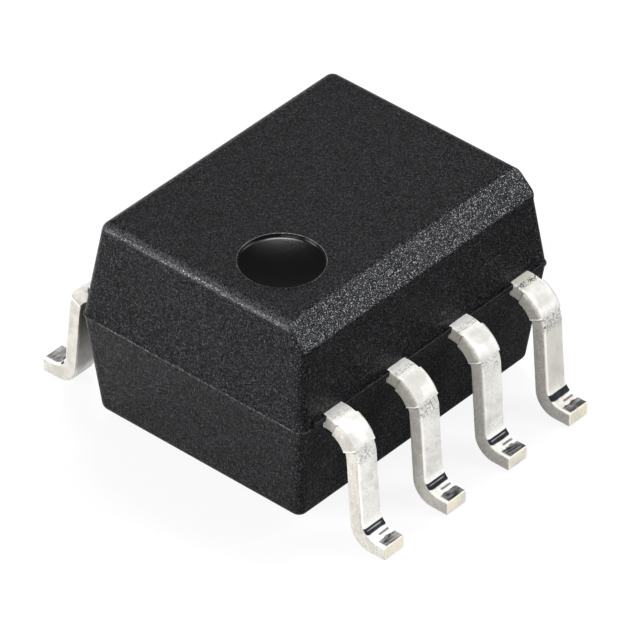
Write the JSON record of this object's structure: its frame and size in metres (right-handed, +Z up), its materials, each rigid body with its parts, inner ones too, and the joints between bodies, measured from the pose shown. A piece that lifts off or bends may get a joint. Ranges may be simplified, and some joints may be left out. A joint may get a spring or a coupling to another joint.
{
  "type": "small outline integrated circuit",
  "caption": "Surface mount chip: a tall black moulded block with a bevelled edge and a round pin-one dimple, carried on two rows of bent tinned leads.",
  "frame": {"origin": "centre of the footprint on the seating plane, level with the undersides of the feet", "axes": "+Z up out of the top face, +X along the body from lead 1 to lead 4, +Y across the body from leads 1 to 4 towards leads 5 to 8"},
  "size_m": [0.005, 0.0062, 0.0033],
  "materials": {
    "body_resin": "fine-grained matte black moulding resin",
    "lead_tin": "satin tin plating",
    "emitter_crystal": "sawn and polished crystal",
    "detector_silicon": "polished silicon",
    "silver_adhesive": "matte silver-filled adhesive",
    "bonding_gold": "drawn gold wire",
    "clear_gel": "clear silicone gel"
  },
  "bodies": {
    "root": {"body": "body_resin", "lead_1": "lead_tin", "lead_2": "lead_tin", "lead_3": "lead_tin", "lead_4": "lead_tin", "lead_5": "lead_tin", "lead_6": "lead_tin", "lead_7": "lead_tin", "lead_8": "lead_tin", "emitter_chip": "emitter_crystal", "emitter_adhesive": "silver_adhesive", "detector_chip": "detector_silicon", "detector_adhesive": "silver_adhesive", "emitter_wire": "bonding_gold", "ground_wire": "bonding_gold", "output_wire": "bonding_gold", "enable_wire": "bonding_gold", "supply_wire": "bonding_gold", "light_dome": "clear_gel"}
  },
  "joints": []
}
